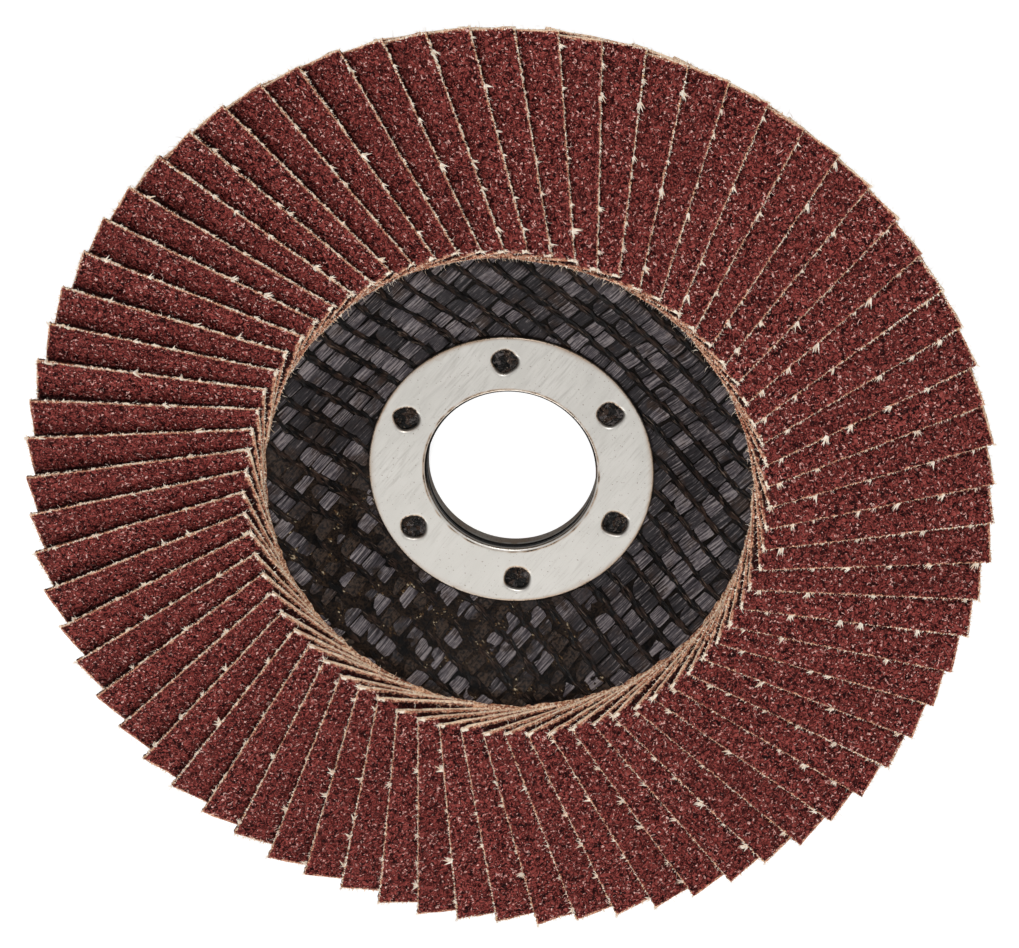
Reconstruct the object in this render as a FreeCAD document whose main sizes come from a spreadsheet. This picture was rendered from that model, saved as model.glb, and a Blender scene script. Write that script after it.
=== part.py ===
import FreeCAD, Part
import math
import os

import Sketcher

os.makedirs("parts", exist_ok=True)
doc = FreeCAD.newDocument("abrasive_flap_disc")
sheet = doc.addObject("Spreadsheet::Sheet", "Sizes")
cells = {}


def size(alias, value):
    """Puts one size in the sheet under its alias, and gives the number back."""
    row = len(cells) + 1
    sheet.set(f"A{row}", alias)
    sheet.set(f"B{row}", repr(float(value)))
    sheet.setAlias(f"B{row}", alias)
    cells[alias] = float(value)
    return cells[alias]


# Driving sizes, in millimetres and degrees. Z is the spindle axis, and Z = 0 is the face
# of the rear ring, which seats on the grinder's flange.

# The disc over the corners of its flaps, and the hole for the spindle
disc_diameter = size("disc_diameter", 125.0)
bore_diameter = size("bore_diameter", 22.23)

# The two pressed steel rings and the holes that key the front one to the plate
ring_diameter = size("ring_diameter", 37.5)
ring_thickness = size("ring_thickness", 0.6)
lip_radius = size("lip_radius", 0.75)
rim_bevel = size("rim_bevel", 0.2)
front_collar = size("front_collar", 0.5)
collar_gap = size("collar_gap", 0.3)
hole_count = 6
hole_diameter = size("hole_diameter", 3.3)
hole_inset = size("hole_inset", 3.35)
hole_turn = size("hole_turn", 33.0)
plug_sink = size("plug_sink", 0.25)
fit_gap = size("fit_gap", 0.05)

# The dished backing plate
plate_thickness = size("plate_thickness", 2.4)
recess_depth = size("recess_depth", 5.5)
hub_margin = size("hub_margin", 1.75)
shelf_width = size("shelf_width", 2.35)
flap_overhang = size("flap_overhang", 5.5)
bend_radius = size("bend_radius", 2.0)

# The woven glass ply that shows between the ring and the flaps
tow_pitch = size("tow_pitch", 5.0)
warp_width = size("warp_width", 1.6)
weft_width = size("weft_width", 2.3)
warp_rise = size("warp_rise", 0.22)
weft_rise = size("weft_rise", 0.34)
ply_sink = size("ply_sink", 0.3)
ply_margin = size("ply_margin", 0.35)
weave_turn = size("weave_turn", -43.0)

# The glue and the flaps of abrasive cloth
glue_thickness = size("glue_thickness", 0.4)
glue_margin = size("glue_margin", 0.5)
pair_count = 36
flap_length = size("flap_length", 29.6)
flap_width = size("flap_width", 13.2)
flap_thickness = size("flap_thickness", 0.8)
flap_play = size("flap_play", 0.03)
edge_offset = size("edge_offset", 11.1)
flap_turn = size("flap_turn", 4.3)

# Heights up the spindle axis
ring_seat = size("ring_seat", 0.0)
hub_back = size("hub_back", ring_seat + ring_thickness)
hub_front = size("hub_front", hub_back + plate_thickness)
ring_face = size("ring_face", hub_front + ring_thickness)
plate_front = size("plate_front", hub_front + recess_depth)
plate_back = size("plate_back", hub_back + recess_depth)
glue_top = size("glue_top", plate_front + glue_thickness)
front_collar_end = size("front_collar_end", hub_front - front_collar)
rear_collar_end = size("rear_collar_end", front_collar_end - collar_gap)

# Radii of the hub, with the collars inside the plate's own hole
bore_radius = size("bore_radius", bore_diameter / 2)
collar_radius = size("collar_radius", bore_radius + ring_thickness)
plate_bore_radius = size("plate_bore_radius", collar_radius + fit_gap)
ring_radius = size("ring_radius", ring_diameter / 2)
hole_radius = size("hole_radius", hole_diameter / 2)
hole_reach = ring_radius - hole_inset
hole_x = size("hole_x", hole_reach * math.cos(math.radians(hole_turn)))
hole_y = size("hole_y", hole_reach * math.sin(math.radians(hole_turn)))
plug_radius = size("plug_radius", hole_radius - fit_gap)
plug_height = size("plug_height", ring_thickness - plug_sink)

# The flaps lean just enough to nest where they crowd, at their inner ends. They lie along
# X, with the raised edge on the -Y side, and half of the other edge sits in the glue.
flap_count = 2 * pair_count
flap_step = 360.0 / flap_count
step_sine = math.sin(math.radians(flap_step))
rim_half = disc_diameter / 2


def lean_for(inner):
    """The lean that stacks flaps of this thickness at the given inner end."""
    return math.asin((flap_thickness + flap_play) / (inner * step_sine))


def outer_for(lean):
    """The outer end that puts the lowest raised corner on the disc's diameter."""
    return math.sqrt(rim_half ** 2 - (edge_offset + flap_thickness * math.sin(lean)) ** 2)


flap_lean = lean_for(rim_half - flap_length)
for settling_pass in range(20):
    flap_lean = lean_for(outer_for(flap_lean) - flap_length)
flap_inner = size("flap_inner", outer_for(flap_lean) - flap_length)
lean_sine = math.sin(flap_lean)
lean_cosine = math.cos(flap_lean)
seat_share = 0.5
flap_rise = flap_width * lean_sine + seat_share * flap_thickness * lean_cosine
work_face = size("work_face", glue_top + flap_rise)
raised_y = size("raised_y", -edge_offset)
raised_under_y = size("raised_under_y", raised_y - flap_thickness * lean_sine)
raised_under_z = size("raised_under_z", work_face - flap_thickness * lean_cosine)
sunk_y = size("sunk_y", raised_y + flap_width * lean_cosine)
sunk_z = size("sunk_z", work_face - flap_width * lean_sine)
foot_far_y = size("foot_far_y", sunk_y - seat_share * flap_thickness * lean_sine)
foot_near_y = size("foot_near_y", raised_under_y + (raised_under_z - glue_top) / math.tan(flap_lean))

# Radii of the dish, which leaves a flat shelf inside the flaps. Its back is set out so
# that the wall keeps its thickness.
plate_radius = size("plate_radius", rim_half - flap_overhang)
dish_foot = size("dish_foot", ring_radius + hub_margin)
dish_top = size("dish_top", flap_inner - shelf_width)
dish_slope = math.atan2(recess_depth, dish_top - dish_foot)
dish_shift = plate_thickness * math.tan(dish_slope / 2)
dish_foot_back = size("dish_foot_back", dish_foot + dish_shift)
dish_top_back = size("dish_top_back", dish_top + dish_shift)
outer_bend_radius = size("outer_bend_radius", bend_radius + plate_thickness)

# Radii of the woven ply and of the glue, between the ring, the flaps and the plate's rim
ply_inner = size("ply_inner", ring_radius + ply_margin)
ply_outer = size("ply_outer", flap_inner - ply_margin)
ply_low_hub = size("ply_low_hub", hub_front - ply_sink)
ply_low_rim = size("ply_low_rim", plate_front - ply_sink)
glue_inner = size("glue_inner", flap_inner + glue_margin)
glue_outer = size("glue_outer", plate_radius - glue_margin)


def origin_part(body, role):
    """One of the body's own origin planes or axes."""
    return next(item for item in body.Origin.OriginFeatures if item.Role == role)


def new_body(name):
    """An empty body under its node's name, which may hold separate solids."""
    body = doc.addObject("PartDesign::Body", name)
    body.Label = name
    body.AllowCompound = True
    return body


def new_sketch(body, name, plane):
    """A sketch on one of the body's origin planes."""
    sketch = body.newObject("Sketcher::SketchObject", name)
    sketch.AttachmentSupport = (origin_part(body, plane), [""])
    sketch.MapMode = "FlatFace"
    return sketch


def bind_point(sketch, item, end, across, up):
    """Ties one point of the sketch to two sizes, measured from the origin."""
    for kind, alias in (("DistanceX", across), ("DistanceY", up)):
        number = sketch.addConstraint(Sketcher.Constraint(kind, -1, 1, item, end, cells[alias]))
        sketch.setExpression(f"Constraints[{number}]", f"Sizes.{alias}")


def draw_outline(sketch, corners):
    """A closed outline of straight lines, with each corner a pair of sizes."""
    points = [FreeCAD.Vector(cells[across], cells[up], 0) for across, up in corners]
    for start, end in zip(points, points[1:] + points[:1]):
        sketch.addGeometry(Part.LineSegment(start, end), False)
    for index in range(len(corners)):
        following = (index + 1) % len(corners)
        sketch.addConstraint(Sketcher.Constraint("Coincident", index, 2, following, 1))
    for index, (across, up) in enumerate(corners):
        bind_point(sketch, index, 1, across, up)


def draw_circle(sketch, across, up, radius):
    """A circle whose centre and radius are sizes."""
    centre = FreeCAD.Vector(cells[across], cells[up], 0)
    sketch.addGeometry(Part.Circle(centre, FreeCAD.Vector(0, 0, 1), cells[radius]), False)
    bind_point(sketch, 0, 3, across, up)
    number = sketch.addConstraint(Sketcher.Constraint("Radius", 0, cells[radius]))
    sketch.setExpression(f"Constraints[{number}]", f"Sizes.{radius}")


def turned_body(name, corners):
    """A body turned about Z from an outline of radii and heights."""
    body = new_body(name)
    sketch = new_sketch(body, f"{name}_outline", "XZ_Plane")
    draw_outline(sketch, corners)
    turning = body.newObject("PartDesign::Revolution", f"{name}_turned")
    turning.Profile = sketch
    turning.ReferenceAxis = (sketch, ["V_Axis"])
    turning.Angle = 360.0
    body.Tip = turning
    doc.recompute()
    return body


def circle_edges(shape, circles):
    """The names of the circular edges that have the given radii and heights."""
    chosen = []
    for number, edge in enumerate(shape.Edges, 1):
        if not isinstance(edge.Curve, Part.Circle):
            continue
        for around, height in circles:
            near = abs(edge.Curve.Radius - cells[around]) < 1e-6
            level = abs(edge.Curve.Center.z - cells[height]) < 1e-6
            if near and level:
                chosen.append(f"Edge{number}")
    return chosen


def round_circles(body, name, radius, circles):
    """Rounds the body's circular edges that have the given radii and heights."""
    base = body.Tip
    rounding = body.newObject("PartDesign::Fillet", name)
    rounding.Base = (base, circle_edges(base.Shape, circles))
    rounding.setExpression("Radius", f"Sizes.{radius}")
    body.Tip = rounding
    doc.recompute()


def bevel_circles(body, name, width, circles):
    """Bevels the body's circular edges that have the given radii and heights."""
    base = body.Tip
    bevel = body.newObject("PartDesign::Chamfer", name)
    bevel.Base = (base, circle_edges(base.Shape, circles))
    bevel.setExpression("Size", f"Sizes.{width}")
    body.Tip = bevel
    doc.recompute()


def repeat_about_axis(body, name, feature, count, sweep):
    """Repeats a feature about Z, over a full turn or from the first copy to the last."""
    pattern = body.newObject("PartDesign::PolarPattern", name)
    pattern.Originals = [feature]
    pattern.Axis = (origin_part(body, "Z_Axis"), [""])
    pattern.Angle = sweep
    pattern.Occurrences = count
    body.Tip = pattern
    doc.recompute()


def make_front_ring():
    """The pressed ring on the plate's front, with its short collar and six holes."""
    body = turned_body("front_ring", [
        ("bore_radius", "ring_face"),
        ("ring_radius", "ring_face"),
        ("ring_radius", "hub_front"),
        ("collar_radius", "hub_front"),
        ("collar_radius", "front_collar_end"),
        ("bore_radius", "front_collar_end"),
    ])
    round_circles(body, "front_ring_lip", "lip_radius", [("bore_radius", "ring_face")])
    bevel_circles(body, "front_ring_rim", "rim_bevel", [("ring_radius", "ring_face")])
    sketch = new_sketch(body, "front_ring_hole", "XY_Plane")
    sketch.setExpression("AttachmentOffset.Base.z", "Sizes.ring_face")
    draw_circle(sketch, "hole_x", "hole_y", "hole_radius")
    solid_volume = body.Tip.Shape.Volume
    hole = body.newObject("PartDesign::Pocket", "front_ring_pierced")
    hole.Profile = sketch
    hole.setExpression("Length", "Sizes.ring_thickness")
    doc.recompute()
    if hole.Shape.Volume >= solid_volume:
        raise ValueError("the hole in the front ring cuts nothing")
    repeat_about_axis(body, "front_ring_holes", hole, hole_count, 360.0)
    return body


def make_rear_ring():
    """The pressed ring on the plate's back, whose collar lines most of the bore."""
    body = turned_body("rear_ring", [
        ("bore_radius", "ring_seat"),
        ("ring_radius", "ring_seat"),
        ("ring_radius", "hub_back"),
        ("collar_radius", "hub_back"),
        ("collar_radius", "rear_collar_end"),
        ("bore_radius", "rear_collar_end"),
    ])
    rims = [("bore_radius", "ring_seat"), ("ring_radius", "ring_seat")]
    bevel_circles(body, "rear_ring_rims", "rim_bevel", rims)
    return body


def make_plate_blank():
    """The dished plate without its weave, with a plug of resin for each ring hole."""
    body = turned_body("plate_blank", [
        ("plate_bore_radius", "hub_back"),
        ("dish_foot_back", "hub_back"),
        ("dish_top_back", "plate_back"),
        ("plate_radius", "plate_back"),
        ("plate_radius", "plate_front"),
        ("dish_top", "plate_front"),
        ("dish_foot", "hub_front"),
        ("plate_bore_radius", "hub_front"),
    ])
    round_circles(body, "back_valley", "bend_radius", [("dish_top_back", "plate_back")])
    round_circles(body, "back_shoulder", "outer_bend_radius", [("dish_foot_back", "hub_back")])
    sketch = new_sketch(body, "plug_outline", "XY_Plane")
    sketch.setExpression("AttachmentOffset.Base.z", "Sizes.hub_front")
    draw_circle(sketch, "hole_x", "hole_y", "plug_radius")
    plug = body.newObject("PartDesign::Pad", "plug")
    plug.Profile = sketch
    plug.setExpression("Length", "Sizes.plug_height")
    doc.recompute()
    repeat_about_axis(body, "plugs", plug, hole_count, 360.0)
    return body


def make_ridges(name, width, rise, turn):
    """The tows of one direction: bars across the disc, kept only where the ply shows."""
    top_hub = f"{name}_top_hub"
    top_rim = f"{name}_top_rim"
    size(top_hub, hub_front + rise)
    size(top_rim, plate_front + rise)
    ply = turned_body(f"{name}_ply", [
        ("ply_inner", "ply_low_hub"),
        ("dish_foot", "ply_low_hub"),
        ("dish_top", "ply_low_rim"),
        ("ply_outer", "ply_low_rim"),
        ("ply_outer", top_rim),
        ("dish_top", top_rim),
        ("dish_foot", top_hub),
        ("ply_inner", top_hub),
    ])
    steps = math.floor((ply_outer - width / 2) / tow_pitch)
    bar_names = []
    for step in range(-steps, steps + 1):
        bar = doc.addObject("Part::Box", f"{name}_bar_{step + steps + 1}")
        bar.Length = 2 * ply_outer
        bar.setExpression("Length", "2 * Sizes.ply_outer")
        bar.setExpression("Width", f"Sizes.{name}_width")
        bar.setExpression("Height", "Sizes.glue_top")
        corner = FreeCAD.Vector(-ply_outer, step * tow_pitch - width / 2, 0)
        spin = FreeCAD.Rotation(FreeCAD.Vector(0, 0, 1), turn)
        bar.Placement = FreeCAD.Placement(spin.multVec(corner), spin)
        bar_names.append(bar)
    bars = doc.addObject("Part::Compound", f"{name}_bars")
    bars.Links = bar_names
    ridges = doc.addObject("Part::MultiCommon", f"{name}_ridges")
    ridges.Shapes = [bars, ply]
    doc.recompute()
    return ridges


def make_backing_plate():
    """The moulded glass and resin plate, with the tows of its top ply standing proud."""
    plate = doc.addObject("Part::MultiFuse", "backing_plate")
    plate.Label = "backing_plate"
    plate.Shapes = [
        make_plate_blank(),
        make_ridges("warp", warp_width, warp_rise, weave_turn),
        make_ridges("weft", weft_width, weft_rise, weave_turn + 90.0),
    ]
    doc.recompute()
    return plate


def make_glue_bed():
    """The ring of cured glue that holds the flaps' sunk edges."""
    return turned_body("glue_bed", [
        ("glue_inner", "plate_front"),
        ("glue_outer", "plate_front"),
        ("glue_outer", "glue_top"),
        ("glue_inner", "glue_top"),
    ])


def make_flap_pair(number):
    """Two neighbouring flaps: leaning strips of cloth, one step apart."""
    name = f"flap_pair_{number:02d}"
    body = new_body(name)
    sketch = new_sketch(body, f"{name}_section", "YZ_Plane")
    sketch.setExpression("AttachmentOffset.Base.z", "Sizes.flap_inner")
    draw_outline(sketch, [
        ("raised_y", "work_face"),
        ("raised_under_y", "raised_under_z"),
        ("foot_near_y", "glue_top"),
        ("foot_far_y", "glue_top"),
        ("sunk_y", "sunk_z"),
    ])
    flap = body.newObject("PartDesign::Pad", f"{name}_flap")
    flap.Profile = sketch
    flap.setExpression("Length", "Sizes.flap_length")
    doc.recompute()
    repeat_about_axis(body, f"{name}_both", flap, 2, flap_step)
    turn = flap_turn + 2 * flap_step * (number - 1)
    spin = FreeCAD.Rotation(FreeCAD.Vector(0, 0, 1), turn)
    body.Placement = FreeCAD.Placement(FreeCAD.Vector(0, 0, 0), spin)
    return body


subparts = [make_backing_plate(), make_front_ring(), make_rear_ring(), make_glue_bed()]
for pair_number in range(1, pair_count + 1):
    subparts.append(make_flap_pair(pair_number))
doc.recompute()

for item in doc.Objects:
    if "Invalid" in item.State or "Error" in item.State:
        raise ValueError(f"{item.Name} is not right: {item.State}")
for subpart in subparts:
    if subpart.Shape.isNull() or not subpart.Shape.isValid():
        raise ValueError(f"{subpart.Label} has no valid shape")
for subpart in subparts:
    subpart.Shape.exportStep(f"parts/{subpart.Label}.step")
    print(subpart.Label, len(subpart.Shape.Solids), round(subpart.Shape.Volume, 2))
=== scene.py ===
import math

import bmesh
import bpy
from mathutils import Matrix, Vector, noise


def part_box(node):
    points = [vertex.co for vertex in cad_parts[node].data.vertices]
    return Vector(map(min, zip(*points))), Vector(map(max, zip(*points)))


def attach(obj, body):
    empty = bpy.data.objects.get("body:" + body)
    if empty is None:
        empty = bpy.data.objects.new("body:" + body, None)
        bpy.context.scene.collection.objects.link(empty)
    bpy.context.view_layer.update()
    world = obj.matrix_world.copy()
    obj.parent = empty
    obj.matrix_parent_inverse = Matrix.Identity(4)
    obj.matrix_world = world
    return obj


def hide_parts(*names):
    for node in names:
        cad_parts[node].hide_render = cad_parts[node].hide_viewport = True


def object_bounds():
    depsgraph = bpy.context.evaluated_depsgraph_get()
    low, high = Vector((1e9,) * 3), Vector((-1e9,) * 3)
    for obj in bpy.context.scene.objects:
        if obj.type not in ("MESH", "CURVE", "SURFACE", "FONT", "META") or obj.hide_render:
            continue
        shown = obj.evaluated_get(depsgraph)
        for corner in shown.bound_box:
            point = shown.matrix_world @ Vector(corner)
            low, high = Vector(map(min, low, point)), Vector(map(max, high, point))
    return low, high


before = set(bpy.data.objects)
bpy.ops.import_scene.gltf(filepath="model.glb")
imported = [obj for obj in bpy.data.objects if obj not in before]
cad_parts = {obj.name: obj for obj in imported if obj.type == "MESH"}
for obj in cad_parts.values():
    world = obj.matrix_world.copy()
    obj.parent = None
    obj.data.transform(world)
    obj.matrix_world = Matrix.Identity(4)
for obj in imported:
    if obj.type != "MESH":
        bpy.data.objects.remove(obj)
cad_low, cad_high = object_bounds()

# The rear ring: a washer pressed from plated steel sheet, with a collar turned up into the
# bore. It seats on the flange of the grinder and holds the plate from behind.

MM = 0.001
TURN_STEPS = 240
ring_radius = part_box("front_ring")[1].x
ring_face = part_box("front_ring")[1].z
ring_thickness = 0.6 * MM
bore_radius = 11.115 * MM
collar_radius = bore_radius + ring_thickness
rear_collar_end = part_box("rear_ring")[1].z
pressed_edge = 0.18 * MM


def rounded_outline(corners, arc_steps=6):
    """Outline points from corners given as radius, height and the rounding of that corner."""
    points = []
    for index, (across, up, rounding) in enumerate(corners):
        corner = Vector((across, up))
        if rounding == 0:
            points.append(corner)
            continue
        before = Vector(corners[index - 1][:2]) - corner
        after = Vector(corners[(index + 1) % len(corners)][:2]) - corner
        before.normalize()
        after.normalize()
        half = before.angle(after) / 2
        centre = corner + (before + after).normalized() * rounding / math.sin(half)
        start = corner + before * rounding / math.tan(half) - centre
        end = corner + after * rounding / math.tan(half) - centre
        for step in range(arc_steps + 1):
            spoke = start.slerp(end, step / arc_steps).normalized()
            points.append(centre + spoke * rounding)
    return points


def turned_mesh(name, outline, shape=None):
    """A closed mesh turned about Z from an outline; shape may move each point."""
    mesh = bpy.data.meshes.new(name)
    count = len(outline)
    points = []
    for step in range(TURN_STEPS):
        angle = math.tau * step / TURN_STEPS
        for across, up in outline:
            point = Vector((across * math.cos(angle), across * math.sin(angle), up))
            points.append(shape(point) if shape else point)
    faces = []
    for step in range(TURN_STEPS):
        here = step * count
        there = (step + 1) % TURN_STEPS * count
        for index in range(count):
            following = (index + 1) % count
            faces.append((here + index, there + index, there + following, here + following))
    mesh.from_pydata(points, [], faces)
    face_outward(mesh)
    return mesh


def face_outward(mesh):
    """Points all faces out of the closed shell."""
    shell = bmesh.new()
    shell.from_mesh(mesh)
    bmesh.ops.recalc_face_normals(shell, faces=shell.faces)
    shell.to_mesh(mesh)
    shell.free()


def smooth_by_angle(mesh, limit=math.radians(40)):
    """Shades the mesh smooth, apart from edges that turn more than the limit."""
    shell = bmesh.new()
    shell.from_mesh(mesh)
    for face in shell.faces:
        face.smooth = True
    for edge in shell.edges:
        if len(edge.link_faces) == 2:
            edge.smooth = edge.calc_face_angle() < limit
    shell.to_mesh(mesh)
    shell.free()


def place_piece(name, mesh, replaced=()):
    """Puts a finished mesh in the scene as a piece that rides with the disc."""
    piece = bpy.data.objects.new(name, mesh)
    bpy.context.scene.collection.objects.link(piece)
    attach(piece, "root")
    if replaced:
        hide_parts(*replaced)


def plug(tree, value, socket):
    """Joins a socket to an input, or writes a plain value there."""
    if isinstance(value, bpy.types.NodeSocket):
        tree.links.new(value, socket)
    else:
        socket.default_value = value


def add_node(tree, kind, plugs=None, **settings):
    """Adds a node with its settings, and fills its inputs by name or number."""
    node = tree.nodes.new(kind)
    for setting, value in settings.items():
        setattr(node, setting, value)
    for key, value in (plugs or {}).items():
        if isinstance(key, str):
            socket = next(item for item in node.inputs if item.name == key and item.enabled)
        else:
            socket = node.inputs[key]
        plug(tree, value, socket)
    return node


def from_node(tree, kind, plugs=None, **settings):
    """Adds a node and gives its first output."""
    return add_node(tree, kind, plugs, **settings).outputs[0]


def calc(tree, operation, *values, clamp=False):
    """One step of arithmetic on numbers or sockets."""
    node = tree.nodes.new("ShaderNodeMath")
    node.operation = operation
    node.use_clamp = clamp
    for socket, value in zip(node.inputs, values):
        plug(tree, value, socket)
    return node.outputs[0]


def times(tree, first, second):
    """The product of two numbers or sockets."""
    return calc(tree, "MULTIPLY", first, second)


def plus(tree, first, second):
    """The sum of two numbers or sockets."""
    return calc(tree, "ADD", first, second)


def minus(tree, first, second):
    """The first number or socket less the second."""
    return calc(tree, "SUBTRACT", first, second)


def times_plus(tree, value, factor, extra):
    """The value times the factor, plus the extra."""
    return calc(tree, "MULTIPLY_ADD", value, factor, extra)


def ramp(tree, value, low, high, to_low=0.0, to_high=1.0, kind="SMOOTHSTEP"):
    """Takes a value from one range to another, held at both ends."""
    return from_node(tree, "ShaderNodeMapRange", {
        "Value": value, "From Min": low, "From Max": high, "To Min": to_low, "To Max": to_high,
    }, interpolation_type=kind)


def paint(red, green, blue):
    """A colour as it is seen on a screen, out of 255, in the light's own scale."""
    shares = [channel / 255 for channel in (red, green, blue)]
    linear = [c / 12.92 if c <= 0.04045 else ((c + 0.055) / 1.055) ** 2.4 for c in shares]
    return (*linear, 1.0)


def mix_paint(tree, share, first, second):
    """Mixes two colours by a share."""
    node = tree.nodes.new("ShaderNodeMix")
    node.data_type = "RGBA"
    plug(tree, share, node.inputs[0])
    plug(tree, first, node.inputs[6])
    plug(tree, second, node.inputs[7])
    return node.outputs[2]


def tinted(tree, colour, value, span, tint):
    """The colour with a tint over it, as strongly as ramp gives for the value and the span."""
    return mix_paint(tree, ramp(tree, value, *span), colour, paint(*tint))


def two_tone(tree, value, span, first, second):
    """A mix of two plain colours, by what ramp gives for the value and the span."""
    return mix_paint(tree, ramp(tree, value, *span), paint(*first), paint(*second))


def new_finish(name, roughness=0.5, shine=0.5, metallic=0.0):
    """An empty finish: its material, node tree, surface shader and object coordinates."""
    material = bpy.data.materials.new(name)
    material.use_nodes = True
    tree = material.node_tree
    surface = tree.nodes["Principled BSDF"]
    surface.inputs["Roughness"].default_value = roughness
    surface.inputs["Specular IOR Level"].default_value = shine
    surface.inputs["Metallic"].default_value = metallic
    where = tree.nodes.new("ShaderNodeTexCoord").outputs["Object"]
    return material, tree, surface, where


def written(tree, name):
    """A value written on the mesh under a name."""
    return add_node(tree, "ShaderNodeAttribute", attribute_name=name).outputs["Fac"]


def speckle(tree, where, grain, detail=2.0, roughness=0.5):
    """Soft random variation with features of about the given size."""
    return from_node(tree, "ShaderNodeTexNoise", {
        "Vector": where, "Scale": 1 / grain, "Detail": detail, "Roughness": roughness,
    })


def grains(tree, where, grain):
    """Packed grains of about the given size, each of a random colour."""
    node = add_node(tree, "ShaderNodeTexVoronoi", {"Vector": where, "Scale": 1 / grain})
    return node.outputs["Color"]


def parts_of(tree, vector):
    """The three numbers of a vector."""
    return add_node(tree, "ShaderNodeSeparateXYZ", {0: vector}).outputs


def stretched(tree, where, turn, along, across):
    """Coordinates turned about Z and stretched, for marks that run one way."""
    return from_node(tree, "ShaderNodeMapping", {
        "Vector": where, "Rotation": (0.0, 0.0, turn), "Scale": (along, across, along),
    }, vector_type="TEXTURE")


def relief(tree, surface, height, depth, strength=1.0, under=None):
    """Gives the surface a relief of the given depth."""
    plugs = {"Height": height, "Distance": depth, "Strength": strength}
    if under is not None:
        plugs["Normal"] = under
    node = add_node(tree, "ShaderNodeBump", plugs)
    tree.links.new(node.outputs[0], surface.inputs["Normal"])
    return node.outputs[0]


def dress(tree, surface, colour, gloss=None):
    """Gives the surface its colour and, where it varies, its roughness."""
    tree.links.new(colour, surface.inputs["Base Color"])
    if gloss is not None:
        tree.links.new(gloss, surface.inputs["Roughness"])


def steel_finish():
    """Plated sheet steel: satin, with drawn scratches, specks and stained edges. Where the value
    written on the mesh runs high, it also paints shade: brown-grey, then nearly black where it runs
    highest.
    """
    material, tree, surface, where = new_finish("plated_steel", metallic=0.85)
    stain_and_shade = written(tree, "stain_and_shade")
    scratches = speckle(tree, stretched(tree, where, math.radians(52), 3.0 * MM, 0.20 * MM), 1.0)
    cross = speckle(tree, stretched(tree, where, math.radians(-62), 1.6 * MM, 0.25 * MM), 1.0)
    clouds = speckle(tree, where, 6 * MM, 3.0)
    specks = speckle(tree, where, 0.30 * MM, 1.0)
    colour = mix_paint(tree, clouds, paint(165, 162, 156), paint(180, 177, 172))
    scratched = ramp(tree, scratches, 0.30, 0.56, 0.16, 0.0)
    scratched = times(tree, scratched, ramp(tree, clouds, 0.35, 0.60, 0.15, 1.0))
    colour = mix_paint(tree, scratched, colour, paint(120, 114, 104))
    dirt = ramp(tree, specks, 0.68, 0.74)
    colour = mix_paint(tree, times(tree, dirt, 0.5), colour, paint(96, 86, 74))
    # The tan tint comes from real stains, and also from painted shade on the lip and in the bore.
    wear_and_shade = times(tree, stain_and_shade, ramp(tree, clouds, 0.30, 0.62, 0.55, 1.0))
    colour = tinted(tree, colour, wear_and_shade, (0.0, 0.6), (140, 121, 103))
    # Dirt and painted shade: brown-grey, then nearly black where the bore, the lip and the hole edges
    # are painted as lying in shade.
    grime_and_shade = times_plus(tree, minus(tree, specks, 0.5), 1.2, stain_and_shade)
    colour = tinted(tree, colour, grime_and_shade, (0.55, 0.95, 0.0, 0.9), (58, 52, 46))
    colour = tinted(tree, colour, grime_and_shade, (1.15, 1.45, 0.0, 0.97), (7, 6, 6))
    gloss = ramp(tree, scratches, 0.25, 0.75, 0.30, 0.46)
    dress(tree, surface, colour, times_plus(tree, dirt, 0.25, gloss))
    height = times_plus(tree, cross, 0.5, scratches)
    relief(tree, surface, height, 0.004 * MM, 0.6)
    return material


steel = steel_finish()


def write_stain_and_shade(mesh, stain_and_shade_at):
    """Writes how stained each point of the mesh is, from 0 to 1; on the steel rings the same value
    also carries painted shade.
    """
    layer = mesh.attributes.new("stain_and_shade", "FLOAT", "POINT")
    layer.data.foreach_set("value", [stain_and_shade_at(vertex.co) for vertex in mesh.vertices])


def fade(value, near, far):
    """1 at near, falling to 0 at far."""
    share = min(1.0, max(0.0, (far - value) / (far - near)))
    return share * share * (3 - 2 * share)


rear_outline = rounded_outline([
    (bore_radius, 0.0, pressed_edge),
    (ring_radius, 0.0, pressed_edge),
    (ring_radius, ring_thickness, pressed_edge),
    (collar_radius, ring_thickness, 0.0),
    (collar_radius, rear_collar_end, 0.1 * MM),
    (bore_radius, rear_collar_end, 0.1 * MM),
    (bore_radius, rear_collar_end - 0.18 * MM, 0.0),
    (bore_radius, rear_collar_end - 0.28 * MM, 0.0),
    (bore_radius, rear_collar_end - 0.34 * MM, 0.0),
    (bore_radius, rear_collar_end - 0.56 * MM, 0.0),
    (bore_radius, rear_collar_end - 0.66 * MM, 0.0),
])
rear_mesh = turned_mesh("rear_ring_steel", rear_outline)
smooth_by_angle(rear_mesh)


def rear_stain_and_shade(point):
    """The collar is darker inside, painted black as shade at the gap above it, and has a dotted
    lighter line in between, a painted highlight along its top edge.
    """
    depth = rear_collar_end - point.z
    # Darker, brown-grey, inside the bore.
    in_bore = 0.52 * fade(abs(point.to_2d().length - bore_radius), 0.4 * MM, 0.9 * MM)
    patchy = fade(noise.noise(Vector((point.x, point.y, 0)) / (0.8 * MM)), 0.1, -0.2)
    # A dotted lighter line where the staining is taken off: a painted highlight along the collar's top
    # edge.
    painted_highlight_line = patchy * fade(abs(depth - 0.45 * MM), 0.12 * MM, 0.18 * MM)
    # Painted shade: the top of the collar, at the gap between the two collars, painted black.
    return in_bore * (1 - painted_highlight_line) + 1.3 * fade(depth, 0.18 * MM, 0.28 * MM)


write_stain_and_shade(rear_mesh, rear_stain_and_shade)
rear_mesh.materials.append(steel)
place_piece("rear_ring_steel", rear_mesh, ["rear_ring"])

# The backing plate: glass cloth and black resin, moulded hot in one piece. It is dished, its
# front is flooded with resin more on one side, and its resin fills the front ring's holes.

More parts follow.
